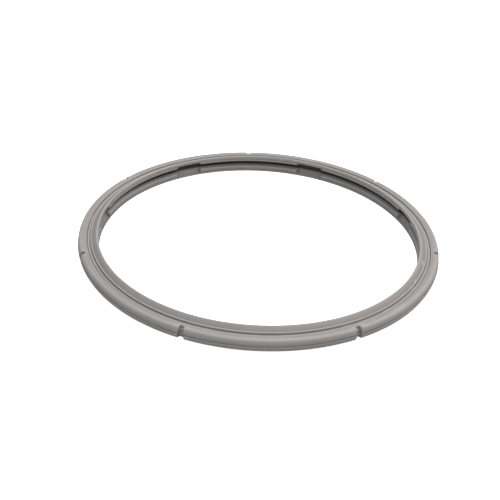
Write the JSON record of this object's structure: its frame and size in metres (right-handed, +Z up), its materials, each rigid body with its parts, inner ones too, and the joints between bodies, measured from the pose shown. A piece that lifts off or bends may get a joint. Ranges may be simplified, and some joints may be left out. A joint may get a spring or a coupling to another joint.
{
  "type": "pressure cooker sealing ring",
  "caption": "Moulded silicone lid gasket with a notched outer bead and a lipped channel open towards its centre, for a stovetop pressure cooker",
  "frame": {"origin": "centre of the ring, on the plane that it rests on", "axes": "+Z up along the ring's own axis; the middle of one outer notch faces +Y"},
  "size_m": [0.236, 0.236, 0.0122],
  "materials": {
    "silicone": "satin warm grey silicone rubber with a fine moulded surface"
  },
  "bodies": {
    "root": {"sealing_ring": "silicone"}
  },
  "joints": []
}
